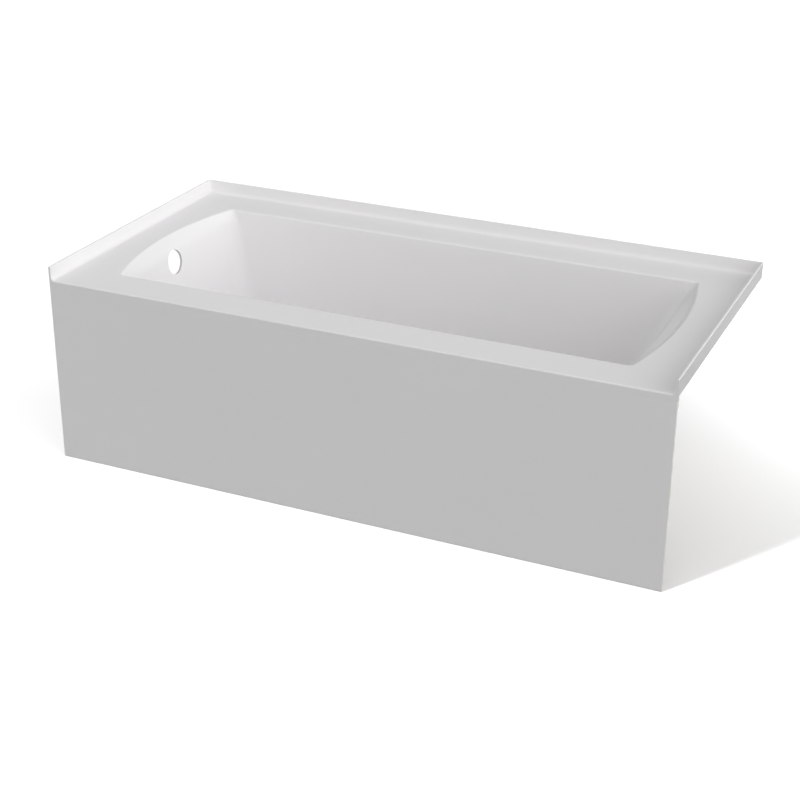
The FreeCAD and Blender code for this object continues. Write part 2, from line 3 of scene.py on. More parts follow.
import bmesh
import bpy
import numpy as np
from mathutils import Euler, Matrix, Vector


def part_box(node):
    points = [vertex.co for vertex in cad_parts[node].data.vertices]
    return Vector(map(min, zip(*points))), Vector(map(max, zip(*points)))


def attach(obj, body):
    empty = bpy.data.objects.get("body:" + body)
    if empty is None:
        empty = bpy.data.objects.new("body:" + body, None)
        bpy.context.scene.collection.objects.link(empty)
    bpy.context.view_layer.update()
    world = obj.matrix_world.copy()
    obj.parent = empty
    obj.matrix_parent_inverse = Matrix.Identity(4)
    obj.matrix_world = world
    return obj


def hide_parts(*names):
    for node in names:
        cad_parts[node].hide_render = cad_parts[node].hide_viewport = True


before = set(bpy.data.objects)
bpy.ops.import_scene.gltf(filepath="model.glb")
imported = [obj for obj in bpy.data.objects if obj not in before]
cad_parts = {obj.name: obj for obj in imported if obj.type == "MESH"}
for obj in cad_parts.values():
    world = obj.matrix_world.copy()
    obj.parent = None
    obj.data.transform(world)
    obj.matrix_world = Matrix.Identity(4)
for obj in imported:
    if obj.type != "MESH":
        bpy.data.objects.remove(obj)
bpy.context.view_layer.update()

mm = 0.001  # the shapes below are in millimetres, and become metres as a mesh is made


# grids and meshes

def gridQuads(rows, columns, ringed):
    # the four corners of each grid cell; a ringed grid joins its last column to its first
    column = np.arange(columns if ringed else columns - 1)
    row = np.arange(rows - 1)[:, None] * columns
    following = (column + 1) % columns
    return np.stack([row + column, row + following, row + following + columns,
                     row + column + columns], -1).reshape(-1, 4)


def meshOf(patches, caps=()):
    # patches are (grid of points, ringed, material number or one for each row of faces);
    # caps are (loop of points, material number)
    points, faces, slots, count = [], [], [], 0
    for grid, ringed, slot in patches:
        rows, columns = grid.shape[:2]
        quads = gridQuads(rows, columns, ringed) + count
        points.append(grid.reshape(-1, 3))
        faces += quads.tolist()
        slots += np.repeat(np.broadcast_to(slot, rows - 1), len(quads) // (rows - 1)).tolist()
        count += rows * columns
    for loop, slot in caps:
        points.append(loop)
        faces.append(list(range(count, count + len(loop))))
        slots.append(slot)
        count += len(loop)
    mesh = bpy.data.meshes.new("surface")
    mesh.from_pydata((np.concatenate(points) * mm).tolist(), [], faces)
    mesh.polygons.foreach_set("material_index", np.array(slots, np.int32))
    return mesh


def closeMesh(mesh, reach=0.004):
    # welds the seams and poles within reach millimetres, turns the closed surface outwards, and
    # counts the edges that are still open
    work = bmesh.new()
    work.from_mesh(mesh)
    bmesh.ops.remove_doubles(work, verts=work.verts, dist=reach * mm)
    bmesh.ops.dissolve_degenerate(work, edges=work.edges, dist=reach * mm)
    bmesh.ops.recalc_face_normals(work, faces=work.faces)
    openEdges = [edge for edge in work.edges if len(edge.link_faces) != 2]
    work.to_mesh(mesh)
    work.free()
    return len(openEdges)


def closedMesh(patches, caps=()):
    mesh = meshOf(patches, caps)
    closeMesh(mesh)
    return mesh


def addPiece(name, mesh, materials, body, node, sharpAbove=30):
    mesh.name = name
    piece = bpy.data.objects.new(name, mesh)
    bpy.context.scene.collection.objects.link(piece)
    for material in materials:
        mesh.materials.append(material)
    mesh.shade_smooth()
    mesh.set_sharp_from_angle(angle=math.radians(sharpAbove))
    weighted = piece.modifiers.new("evenShading", "WEIGHTED_NORMAL")
    weighted.keep_sharp = True
    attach(piece, body)
    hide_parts(node)


def unit(v):
    return v / np.maximum(np.linalg.norm(v, axis=-1, keepdims=True), 1e-9)


def roundedPath(knots, radii, arcSteps, runSteps):
    # carries a row of points along knots: straight runs, and at each inner knot an arc of its radius
    # that touches both runs, its centre on the line that halves their angle
    rows = []
    start = knots[0]
    for i in range(1, len(knots)):
        end = knots[i]
        along = unit(end - knots[i - 1])
        radius = radii[i] if i < len(knots) - 1 else 0
        if np.any(radius):
            onward = unit(knots[i + 1] - end)
            turn = np.arccos(np.clip((along * onward).sum(-1, keepdims=True), -1, 1))
            back = radius * np.tan(turn / 2)
            touch = end - along * back
        else:
            touch = end
        share = np.linspace(0, 1, runSteps[i - 1] + 1)[:-1, None, None]
        rows.append(start + (touch - start) * share)
        start = touch
        if np.any(radius):
            inward = unit(onward - along * (along * onward).sum(-1, keepdims=True))
            angle = np.linspace(0, 1, arcSteps[i] + 1)[:-1, None, None] * turn
            rows.append(touch + radius * (inward * (1 - np.cos(angle)) + along * np.sin(angle)))
            start = end + onward * back
    rows.append(start[None])
    return np.concatenate(rows)


def nodeBox(name):
    low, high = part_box(name)
    return np.array(low) / mm, np.array(high) / mm


def together(*parts):
    # coordinates side by side, each repeated along the rows or columns that only the others have
    return np.stack(np.broadcast_arrays(*parts), -1)


def fullTurn(steps):
    return np.linspace(0, 2 * math.pi, steps + 1)[:-1]


def quarterTurn(steps):
    return np.linspace(0, math.pi / 2, steps + 1)


# material tools

def newMaterial(name):
    material = bpy.data.materials.new(name)
    material.use_nodes = True
    material.node_tree.nodes.clear()
    return material


def putIn(node, which, value):
    # another node's output is linked to the socket, and anything else is set on it
    socket = node.inputs[which]
    if hasattr(value, "links"):
        node.id_data.links.new(value, socket)
    else:
        socket.default_value = value


def addNode(material, kind, settings=None, **inputs):
    # an underscore in an input's name stands for a space
    node = material.node_tree.nodes.new("ShaderNode" + kind)
    for name, value in (settings or {}).items():
        setattr(node, name, value)
    for name, value in inputs.items():
        putIn(node, name.replace("_", " "), value)
    return node


def finished(material, colour, roughness, normal, **others):
    shader = addNode(material, "BsdfPrincipled", Base_Color=colour, Roughness=roughness, Normal=normal,
                     **others)
    addNode(material, "OutputMaterial", Surface=shader.outputs[0])
    return material


def objectPoints(material, scale=(1, 1, 1), turn=None):
    # the object's own coordinates, turned first and then stretched, so that the stretch lies askew
    points = addNode(material, "TexCoord").outputs["Object"]
    if turn:
        points = addNode(material, "Mapping", Vector=points, Rotation=turn).outputs[0]
    return addNode(material, "Mapping", Vector=points, Scale=scale).outputs[0]


def noise(material, points, scale=1, detail=3, roughness=0.5):
    return addNode(material, "TexNoise", Vector=points, Scale=scale, Detail=detail,
                   Roughness=roughness).outputs[0]


def cells(material, points):
    return addNode(material, "TexVoronoi", Vector=points, Scale=1.0, Randomness=1.0).outputs


def spread(material, value, low, high, fromLow=0.3, fromHigh=0.7):
    # low up to fromLow, high from fromHigh on, and an even change between
    return addNode(material, "MapRange", Value=value, From_Min=fromLow, From_Max=fromHigh,
                   To_Min=low, To_Max=high).outputs[0]


def ramp(material, value, places, colours):
    node = addNode(material, "ValToRGB")
    putIn(node, 0, value)
    elements = node.color_ramp.elements
    while len(elements) < len(places):
        elements.new(0.5)
    for element, place, colour in zip(elements, places, colours):
        element.position = place
        element.color = (*colour, 1)
    return node.outputs[0]


def mixed(material, factor, first, second):
    # a colour mix has its factor at socket 0, and its two colours at 6 and 7
    node = addNode(material, "Mix", {"data_type": "RGBA"})
    for which, value in ((0, factor), (6, first), (7, second)):
        putIn(node, which, (*value, 1) if isinstance(value, tuple) else value)
    return node.outputs[2]


def bump(material, height, strength, distance, before=None):
    node = addNode(material, "Bump", Height=height, Strength=strength, Distance=distance)
    if before:
        putIn(node, "Normal", before)
    return node.outputs[0]


def maths(material, way, first, second):
    node = addNode(material, "Math", {"operation": way})
    putIn(node, 0, first)
    putIn(node, 1, second)
    return node.outputs[0]


# the tub's finishes

acrylicLook = {"white": (0.868, 0.859, 0.866), "shade": (0.858, 0.850, 0.856), "cloudScale": 4,
               "roughness": (0.29, 0.34), "glossScale": 35, "refraction": 1.49, "waveScale": 9}


def makeAcrylic(name):
    # a nearly even white, with the faint waviness of a drawn sheet
    material, look = newMaterial(name), acrylicLook
    points = objectPoints(material)
    cloud = spread(material, noise(material, points, look["cloudScale"], detail=2), 0, 1)
    gloss = spread(material, noise(material, points, look["glossScale"]), *look["roughness"])
    wave = noise(material, points, look["waveScale"], detail=1)
    return finished(material, mixed(material, cloud, look["white"], look["shade"]), gloss,
                    bump(material, wave, strength=0.05, distance=0.001), IOR=look["refraction"])


laminateLook = {"body": ((0.60, 0.57, 0.48), (0.72, 0.70, 0.62)), "cloudScale": 9, "lumpScale": 60,
                "strand": (0.86, 0.85, 0.80), "strandShare": 0.55, "strandStretch": (30, 420, 420),
                "strandTurns": ((0.3, 0.4, 0.5), (0.9, 1.2, 2.1), (1.7, 2.3, 0.9), (2.5, 0.8, 1.4),
                                (0.2, 2.8, 2.6)), "roughness": (0.30, 0.52)}


def makeLaminate():
    # chopped glass fibre in resin: fine crossed strands over a cloudy, slightly amber body
    material, look = newMaterial("glassLaminate"), laminateLook
    points = objectPoints(material)
    cloud = spread(material, noise(material, points, look["cloudScale"], detail=4), 0, 1)
    strands = 0.0
    for turn in look["strandTurns"]:
        along = noise(material, objectPoints(material, look["strandStretch"], turn), detail=1)
        strands = maths(material, "MAXIMUM", strands,
                        spread(material, along, 0, 1, fromLow=0.62, fromHigh=0.70))
    share = maths(material, "MULTIPLY", strands, look["strandShare"])
    colour = mixed(material, share, mixed(material, cloud, *look["body"]), look["strand"])
    gloss = spread(material, cloud, *look["roughness"], fromLow=0, fromHigh=1)
    lumps = bump(material, noise(material, points, look["lumpScale"]), strength=0.5, distance=0.002)
    return finished(material, colour, gloss,
                    bump(material, strands, strength=0.35, distance=0.0006, before=lumps))


# the greys of the flange's outer faces are painted shade
paintedShadeFaceLook = {"pale": (0.455, 0.452, 0.45), "paler": (0.48, 0.477, 0.475), "cloudScale": 14,
               "sawStretch": (40, 40, 900), "roughness": (0.5, 0.62)}


def makeTrimmedFaceWithPaintedShade():
    # the flange's outer faces, trimmed with a saw: their grey is painted shade, far darker than the acrylic,
    # with the saw's faint marks
    material, look = newMaterial("trimmedFaceWithPaintedShade"), paintedShadeFaceLook
    marks = noise(material, objectPoints(material, look["sawStretch"]), detail=2)
    cloud = spread(material, noise(material, objectPoints(material), look["cloudScale"], detail=4), 0, 1)
    return finished(material, mixed(material, cloud, look["pale"], look["paler"]),
                    spread(material, marks, *look["roughness"]),
                    bump(material, marks, strength=0.06, distance=0.0003))


shellAcrylic = makeAcrylic("shellAcrylic")
apronAcrylic = makeAcrylic("apronAcrylic")
glassLaminate = makeLaminate()
trimmedFaceWithPaintedShade = makeTrimmedFaceWithPaintedShade()
print("materials of the shell are ready")


# the moulded shell

shellLow, shellHigh = nodeBox("tub_shell")

shell = {
    "wall": 6,
    "deckHeight": 466,
    "rim": {"left": -676, "right": 669, "front": -271, "back": 265, "leftBow": 46, "rightBow": 36,
            "corner": 11},
    "rimMargin": 14,
    "rimRound": 6,
    "rimUnderRound": 5,
    "ledge": {"left": -651, "right": 620, "front": -268, "back": 262, "leftBow": 30, "rightBow": 3,
              "corner": 20, "height": 438},
    "ledgeRound": {"left": 60, "right": 26, "side": 8, "fadeShare": 0.08},
    "ledgeHollow": {"place": 0.3, "drop": 4.5, "round": 18, "fromShare": 0.93, "fadeShare": 0.05},
    "floor": {"left": -599, "right": 470, "front": -238, "back": 232, "leftBow": 8, "rightBow": 8,
              "corner": 90, "height": 87},
    "floorRound": 45,
    "floorMargin": 6,
    "drain": {"x": -500, "y": -3, "hole": 26, "holeRound": 0.8, "seat": 43, "seatDepth": 3, "seatSlope": 3,
              "edgeRound": 2, "boss": 52, "bossHeight": 4, "bossSlope": 2, "bossRound": 3},
    "overflow": {"height": 405, "radius": 31.5, "reach": 30, "steps": 96},
    "flangeThickness": 5,
    "flangeDraft": 0.3,
    "cove": 10,
    "edgeRound": 1.2,
    "frontRound": 4,
    "frontInnerRound": 2,
    "lipDepth": 16,
    "lipRound": 0.4,
    "innerCornerRound": 8,
    "outerCornerRound": 5,
    "underCornerRound": 3,
    "sideSteps": 96, "endSteps": 48, "cornerSteps": 16, "flangeCornerSteps": 6,
}


def bowedOutline(level, outset=0.0):
    # a rounded rectangle whose ends bow outward: each end is an arc of radius (half² + bow²) / 2 bow,
    # met by the corner arcs; outset moves the whole outline square to itself
    half = (level["back"] - level["front"]) / 2
    middle = (level["back"] + level["front"]) / 2
    corner = level["corner"]
    place = {}
    for side, outward in (("right", 1), ("left", -1)):
        bow = level[side + "Bow"]
        radius = (half ** 2 + bow ** 2) / (2 * bow)
        centre = level[side] - outward * radius
        rise = half - corner
        run = math.sqrt((radius - corner) ** 2 - rise ** 2)
        place[side] = (centre, radius + outset, centre + outward * run, math.atan2(rise, run))
    rightCentre, rightRadius, rightX, rightAngle = place["right"]
    leftCentre, leftRadius, leftX, leftAngle = place["left"]
    low, high = level["front"] + corner, level["back"] - corner
    r, quarter = corner + outset, math.pi / 2

    def arc(x, y, radius, first, last, steps):
        angle = np.linspace(first, last, steps + 1)[:-1]
        return together(x + radius * np.cos(angle), y + radius * np.sin(angle))

    def side(fromX, toX, y):
        return together(np.linspace(fromX, toX, shell["sideSteps"] + 1)[:-1], y)

    corners, ends = shell["cornerSteps"], shell["endSteps"]
    return np.concatenate([
        side(leftX, rightX, low - r),
        arc(rightX, low, r, -quarter, -rightAngle, corners),
        arc(rightCentre, middle, rightRadius, -rightAngle, rightAngle, ends),
        arc(rightX, high, r, rightAngle, quarter, corners),
        side(rightX, leftX, high + r),
        arc(leftX, high, r, quarter, math.pi - leftAngle, corners),
        arc(leftCentre, middle, leftRadius, math.pi - leftAngle, math.pi + leftAngle, ends),
        arc(leftX, low, r, math.pi + leftAngle, 3 * quarter, corners),
    ])


def atHeight(flat, z):
    return together(flat[..., 0], flat[..., 1], float(z))


def deckLines(rimPoints):
    # the deck's grid lines run through the rim's points, so that deck and basin meet point for point
    margin = shell["flangeThickness"] + shell["cove"]
    deckEnd, deckBack = shellHigh[0] - margin, shellHigh[1] - margin
    deckFront = shellLow[1] + shell["wall"] + shell["frontInnerRound"]
    sides, ends, corners = shell["sideSteps"], shell["endSteps"], shell["cornerSteps"]

    def extended(first, inner, last):
        # half a corner's steps on either side of the inner lines
        return np.concatenate([np.linspace(first, inner[0], corners // 2 + 1)[:-1], inner,
                               np.linspace(inner[-1], last, corners // 2 + 1)[1:]])

    xs = extended(-deckEnd, rimPoints[:sides + 1, 0], deckEnd)
    ys = extended(deckFront, rimPoints[sides + corners:sides + corners + ends + 1, 1], deckBack)
    return xs, ys


def creaseAndHollow():
    # what changes along the ledge, by the share of the way from its drain end to its backrest end: its
    # lower crease is softer at the ends, most of all at the drain end, and under the backrest's rim it is
    # a little hollow
    ledge, creases, hollow = shell["ledge"], shell["ledgeRound"], shell["ledgeHollow"]
    across = bowedOutline(ledge)[:, :1]
    share = np.clip((across - ledge["left"]) / (ledge["right"] - ledge["left"]), 0, 1)
    nearLeft = np.clip(1 - share / creases["fadeShare"], 0, 1) ** 0.5
    nearRight = np.clip(1 - (1 - share) / creases["fadeShare"], 0, 1) ** 0.5
    crease = (creases["side"] + (creases["left"] - creases["side"]) * nearLeft
              + (creases["right"] - creases["side"]) * nearRight)
    return crease, np.clip((share - hollow["fromShare"]) / hollow["fadeShare"], 0, 1)


def makeBasin(xs, ys, rimPoints):
    # from the deck over the rim, ledge, wall and floor into the drain, and back underneath to the deck
    wall, deck = shell["wall"], shell["deckHeight"]
    rim, ledge, floor, drain = shell["rim"], shell["ledge"], shell["floor"], shell["drain"]
    under = deck - wall
    around = np.concatenate([together(xs[:-1], ys[0]), together(xs[-1], ys[:-1]),
                             together(xs[:0:-1], ys[-1]), together(xs[0], ys[:0:-1])])
    deckLoop = np.roll(around, -(shell["cornerSteps"] // 2), axis=0)

    floorFlat = bowedOutline(floor, -(shell["floorRound"] + wall + shell["floorMargin"]))
    drainPlace = np.array([drain["x"], drain["y"]])
    aim = unit(floorFlat - drainPlace)

    def drainRing(radius, z):
        return atHeight(drainPlace + aim * radius, z)

    crease, nearBackrest = creaseAndHollow()
    hollow = shell["ledgeHollow"]
    rimRow = atHeight(bowedOutline(rim), deck)
    ledgeRow = atHeight(bowedOutline(ledge), ledge["height"])
    hollowRow = rimRow + (ledgeRow - rimRow) * hollow["place"] - nearBackrest * [[0, 0, hollow["drop"]]]

    floorZ, seatZ = floor["height"], floor["height"] - drain["seatDepth"]
    floorUnder = floorZ - wall
    bossZ = floorUnder - drain["bossHeight"]
    rimRound, floorRound = shell["rimRound"], shell["floorRound"]
    edgeRound, holeRound, bossRound = drain["edgeRound"], drain["holeRound"], drain["bossRound"]
    # each row is a knot, the radius of its round, the steps round it and those of the run before it
    inside = [
        (atHeight(deckLoop, deck), 0, 0, 0),
        (atHeight(rimPoints, deck), 0, 0, 5),
        (rimRow, rimRound, 6, 1),
        (hollowRow, hollow["round"] * nearBackrest, 5, 2),
        (ledgeRow, crease, 9, 4),
        (atHeight(bowedOutline(floor), floorZ), floorRound, 14, 22),
        (atHeight(floorFlat, floorZ), 0, 0, 1),
        (drainRing(drain["seat"], floorZ), edgeRound, 3, 8),
        (drainRing(drain["seat"] - drain["seatSlope"], seatZ), edgeRound, 3, 1),
        (drainRing(drain["hole"], seatZ), holeRound, 3, 3)]
    underneath = [
        (drainRing(drain["hole"], bossZ), holeRound, 3, 3),
        (drainRing(drain["boss"] - drain["bossSlope"], bossZ), edgeRound, 3, 3),
        (drainRing(drain["boss"], floorUnder), bossRound, 3, 1),
        (atHeight(floorFlat, floorUnder), 0, 0, 6),
        (atHeight(bowedOutline(floor, wall), floorUnder), floorRound + wall, 12, 1),
        (atHeight(bowedOutline(ledge, wall), ledge["height"] - wall / 2), crease + wall / 2, 9, 20),
        (atHeight(bowedOutline(rim, wall), under), shell["rimUnderRound"], 4, 3),
        (atHeight(rimPoints, under), 0, 0, 1),
        (atHeight(deckLoop, under), 0, 0, 5)]
    knots, radii, arcSteps, runSteps = zip(*inside, *underneath)
    basin = roundedPath(knots, radii, arcSteps, runSteps[1:])
    # the sheet's own face reaches down the hole, up to the first knot of the underside
    faceRows = sum(runSteps[:len(inside) + 1]) + sum(arcSteps[:len(inside)])
    return basin, np.where(np.arange(len(basin) - 1) < faceRows, 0, 1)


def flangeSection():
    # rows of: distance in from the flange's outer face, height over the deck, corner round in plan;
    # up its inner face and over its top, down its outer face, and back under the deck
    wall, flange, cove = shell["wall"], shell["flangeThickness"], shell["cove"]
    edge, draft, height = shell["edgeRound"], shell["flangeDraft"], shellHigh[2] - shell["deckHeight"]
    inner, outer, lower = shell["innerCornerRound"], shell["outerCornerRound"], shell["underCornerRound"]
    turn, small, middle = quarterTurn(6), quarterTurn(3), (inner + outer) / 2
    up = np.linspace(cove, height - edge, 5)[1:-1]
    down = np.linspace(height - edge, edge - wall, 5)[1:-1]
    top = np.concatenate([
        together(flange + draft + (cove - draft) * (1 - np.sin(turn)), cove * (1 - np.cos(turn)),
                 inner * np.sin(turn)),
        together(flange + draft * np.linspace(1, 0, 5)[1:-1], up, inner),
        together(flange - edge * (1 - np.cos(small)), height - edge * (1 - np.sin(small)),
                 np.linspace(inner, middle, len(small))),
        together(edge * (1 - np.sin(small)), height - edge * (1 - np.cos(small)),
                 np.linspace(middle, outer, len(small)))])
    side = together(0, down, outer)
    bottom = np.concatenate([
        together(edge * (1 - np.cos(small)), edge * (1 - np.sin(small)) - wall,
                 np.linspace(outer, lower, len(small))),
        [[(flange + cove) / 2, -wall, lower / 2], [flange + cove, -wall, 0]]])
    return top, side, bottom


def frontSection(deckFront):
    # rows of Y and Z from the lip's lower edge up to the deck: outside, and inside at the same steps;
    # and the heights that the flange's end has at the outside's rows
    wall, deck, frontY, edge = shell["wall"], shell["deckHeight"], shellLow[1], shell["edgeRound"]
    tiny, roll, bend = shell["lipRound"], shell["frontRound"], shell["frontInnerRound"]
    lipLow, under = deck - shell["lipDepth"] + tiny, deck - wall
    face, innerFace = np.linspace(lipLow, deck - roll, 4), np.linspace(lipLow, under - bend, 4)
    rollTurn, bendTurn, tinyTurn = quarterTurn(8)[1:], quarterTurn(9)[1:], quarterTurn(2)[:-1]
    tinyIn, tinyUp = tiny * (1 - np.sin(tinyTurn)), lipLow - tiny * np.cos(tinyTurn)
    outside = np.concatenate([
        together(frontY + tinyIn, tinyUp),
        together(frontY, face),
        together(frontY + roll * (1 - np.cos(rollTurn)), deck - roll * (1 - np.sin(rollTurn))),
        [[deckFront, deck]]])
    inside = np.concatenate([
        together(frontY + wall - tinyIn, tinyUp),
        together(frontY + wall, innerFace),
        together(frontY + wall + bend * (1 - np.cos(bendTurn)), under - bend * (1 - np.sin(bendTurn)))])
    upright = len(tinyTurn) + len(face)
    shortOfRound = np.maximum(frontY + edge - outside[upright:, 0], 0)
    flangeTop = np.concatenate([
        tinyUp,
        np.linspace(lipLow, shellHigh[2] - edge, len(face)),
        shellHigh[2] - edge + np.sqrt(np.maximum(edge ** 2 - shortOfRound ** 2, 0))])
    return outside, inside, flangeTop


def makeFlange(xs, ys, section, outside, inside, flangeTop):
    # the flange runs up the drain end, along the back and down the other end, with its section carried
    # round both corners; its two front ends follow the deck's rolled edge
    top, side, bottom = section
    endX, backY, deck = shellHigh[0], shellHigh[1], shell["deckHeight"]
    turn = quarterTurn(shell["flangeCornerSteps"])[1:-1]

    def stripRow(distance, height, corner):
        cornerX, cornerY = endX - distance - corner, backY - distance - corner
        leg = np.concatenate([ys[:-1], [cornerY]])
        back = np.concatenate([[-cornerX], xs[1:-1], [cornerX]])
        leftTurn = together(-cornerX - corner * np.cos(turn), cornerY + corner * np.sin(turn))
        plan = np.concatenate([together(distance - endX, leg), leftTurn, together(back, backY - distance),
                               leftTurn[::-1] * [-1, 1], together(endX - distance, leg[::-1])])
        return atHeight(plan, deck + height)

    strip = np.stack([stripRow(*row) for row in np.concatenate(section)])
    weight = np.clip(top[:, 1:2] / (shellHigh[2] - deck), 0, 1)
    endTop = together(top[:, :1] - endX, outside[:-1, 0],
                      (1 - weight) * outside[:-1, 1] + weight * flangeTop[:-1])
    endBottom = together(bottom[:, :1] - endX, inside[:-1, 0], inside[:-1, 1])
    share = np.linspace(0, 1, len(side) + 2)[1:-1, None, None]
    frontEnd = np.concatenate([endTop, endTop[-1] + (endBottom[0] - endTop[-1]) * share, endBottom])
    strip = np.concatenate([frontEnd, strip, (frontEnd * [-1, 1, 1])[:, ::-1]], 1)
    row = np.arange(len(strip) - 1)
    # the flange's outer face takes the shell's third finish, whose grey is painted shade
    return strip, np.where(row < len(top) - 1, 0, np.where(row < len(top) + len(side), 2, 1))


def makeShell():
    # basin, flange and rolled front edge share the rows of points where they meet, and are welded there
    rimPoints = bowedOutline(shell["rim"], shell["rimMargin"])
    xs, ys = deckLines(rimPoints)
    basin, basinSlots = makeBasin(xs, ys, rimPoints)
    outside, inside, flangeTop = frontSection(ys[0])
    flange, flangeSlots = makeFlange(xs, ys, flangeSection(), outside, inside, flangeTop)
    lip = np.concatenate([outside[::-1], inside])
    front = together(xs, lip[:, :1], lip[:, 1:])
    frontSlots = np.where(np.arange(len(lip) - 1) < len(outside), 0, 1)
    mesh = meshOf([(basin, True, basinSlots), (flange, False, flangeSlots), (front, False, frontSlots)],
                  [(flange[:, 0], 0), (flange[:, -1], 0)])
    print("shell: open edges after welding", closeMesh(mesh))
    return mesh


def cutOverflow(mesh):
    # a round cutter along the drain end wall's own slope
    ledge, floor, overflow = shell["ledge"], shell["floor"], shell["overflow"]
    lean = (floor["left"] - ledge["left"]) / (ledge["height"] - floor["height"])
    middle = np.array([ledge["left"] + lean * (ledge["height"] - overflow["height"]),
                       (ledge["front"] + ledge["back"]) / 2, overflow["height"]])
    tilt, angle = math.atan(lean), fullTurn(overflow["steps"])[:, None]
    outward = np.array([math.cos(tilt), 0, math.sin(tilt)])
    upward = np.array([-math.sin(tilt), 0, math.cos(tilt)])
    circle = overflow["radius"] * (np.cos(angle) * np.array([0, 1, 0]) + np.sin(angle) * upward)
    rings = np.stack([middle + outward * reach + circle
                      for reach in (-overflow["reach"], overflow["reach"])])
    body = bpy.data.objects.new("body", mesh)
    tool = bpy.data.objects.new("tool", closedMesh([(rings, True, 0)], [(rings[0], 0), (rings[1], 0)]))
    for item in (body, tool):
        bpy.context.scene.collection.objects.link(item)
    difference = body.modifiers.new("hole", "BOOLEAN")
    difference.operation, difference.solver, difference.object = "DIFFERENCE", "EXACT", tool
    graph = bpy.context.evaluated_depsgraph_get()
    result = bpy.data.meshes.new_from_object(body.evaluated_get(graph))
    for item in (body, tool):
        bpy.data.objects.remove(item)
    print("shell: open edges after the cut", closeMesh(result))
    return result


shellMesh = cutOverflow(makeShell())
# the shell's third finish, on the flange's outer faces, is painted shade
addPiece("tubShell", shellMesh, [shellAcrylic, glassLaminate, trimmedFaceWithPaintedShade], "tub",
         "tub_shell", sharpAbove=35)
print("shell:", len(shellMesh.polygons), "faces")


# shapes that several pieces share

def easedOutline(corners, eases, steps=4):
    # each corner of a closed outline gives way to an arc touching both its sides; with every point
    # comes its outward normal, which turns along the arc from one side's to the next's
    corners = np.array(corners, float)
    eases = np.broadcast_to(np.array(eases, float), len(corners))[:, None]
    inward, onward = unit(corners - np.roll(corners, 1, 0)), unit(np.roll(corners, -1, 0) - corners)
    cross = inward[:, :1] * onward[:, 1:] - inward[:, 1:] * onward[:, :1]
    turn = np.arccos(np.clip((inward * onward).sum(-1, keepdims=True), -1, 1))
    toCentre = unit(onward - inward)
    centre = corners + toCentre * eases / np.cos(turn / 2)
    angle = (np.linspace(0, 1, steps) * turn - turn / 2)[..., None]
    side = unit(inward + onward)[:, None]
    spoke = -toCentre[:, None] * np.cos(angle) + side * np.sin(angle)
    points = centre[:, None] + eases[:, None] * spoke
    return points.reshape(-1, 2), (spoke * np.sign(cross)[:, None]).reshape(-1, 2)


def carriedBar(outline, normals, axis, low, high, ease, steps=4):
    # an outline carried straight along an axis; over the last ease millimetres at each end it
    # draws in along its normals by ease * (1 - sin t), while it advances by ease * (1 - cos t)
    t = quarterTurn(steps - 1)
    drawIn = np.concatenate([ease * (1 - np.sin(t)), ease * (1 - np.sin(t))[::-1]])[:, None, None]
    place = np.concatenate([low + ease * (1 - np.cos(t)), (high - ease * (1 - np.cos(t)))[::-1]])
    grid = np.insert(outline[None] - normals[None] * drawIn, axis, place[:, None], axis=2)
    return closedMesh([(grid, True, 0)], [(grid[0], 0), (grid[-1], 0)])


def squareBar(low, high, ease=1.2):
    axis = int(np.argmax(high - low))
    (a, b), (c, d) = np.delete(low, axis), np.delete(high, axis)
    outline, normals = easedOutline([(a, b), (c, b), (c, d), (a, d)], ease)
    return carriedBar(outline, normals, axis, low[axis], high[axis], ease)


def turnedRows(radius, height, columns):
    # rows of radius and height swept round the vertical; radius may also change round each row
    angle = fullTurn(columns)
    return together(radius * np.cos(angle), radius * np.sin(angle), np.array(height)[:, None])


hexagon = {"chamferRise": (0, 0.25, 0.55, 0.9), "chamferStart": 0.84}


def chamferedHex(low, high, corner, columns):
    # a hexagon's radius is its apothem over the cosine of the angle from the flat; at each end the smaller
    # of it and of a 30 degree cone holds, and the cone starts inside the flats
    rise = np.array(hexagon["chamferRise"])
    height = np.concatenate([low + rise, (high - rise)[::-1]])
    cone = (corner * hexagon["chamferStart"]
            + np.minimum(height - low, high - height)[:, None] * math.sqrt(3))
    fromFlat = fullTurn(columns) % (math.pi / 3) - math.pi / 6
    flats = corner * math.cos(math.pi / 6) / np.cos(fromFlat)
    return np.minimum(flats[None], cone), height


def joined(meshes):
    # several closed meshes in one
    work = bmesh.new()
    for mesh in meshes:
        work.from_mesh(mesh)
        bpy.data.meshes.remove(mesh)
    result = bpy.data.meshes.new("joined")
    work.to_mesh(result)
    work.free()
    return result


# finishes of the frame under the tub

timberLook = {"colours": ((0.52, 0.36, 0.20), (0.66, 0.49, 0.30), (0.74, 0.58, 0.38), (0.80, 0.66, 0.46)),
              "knot": (0.30, 0.17, 0.08), "roughness": (0.72, 0.55), "wobble": (10.8, 0.264),
              "grain": (90, 2.2), "knots": (14.0, 3.5), "saw": (12.0, 620.0)}


def makeTimber(name, axis):
    # growth rings seen along the grain: streaks drawn out along the bar, saw marks across it, and a few
    # knots; each pair of scales in the look is across the bar and along it
    material, look = newMaterial(name), timberLook

    def stretched(part):
        across, along = look[part]
        return objectPoints(material, tuple(along if place == axis else across for place in range(3)))

    wobble = spread(material, noise(material, stretched("wobble"), detail=2), -0.12, 0.12)
    streaks = noise(material, stretched("grain"), detail=5, roughness=0.6)
    rings = maths(material, "ADD", streaks, wobble)
    wood = ramp(material, rings, (0.30, 0.42, 0.58, 0.72), look["colours"])
    knot = spread(material, cells(material, stretched("knots"))["Distance"], 1, 0,
                  fromLow=0.05, fromHigh=0.13)
    saw = noise(material, stretched("saw"), detail=1)
    grain = bump(material, streaks, strength=0.3, distance=0.0005)
    return finished(material, mixed(material, knot, wood, look["knot"]),
                    spread(material, streaks, *look["roughness"]),
                    bump(material, saw, strength=0.16, distance=0.0003, before=grain))


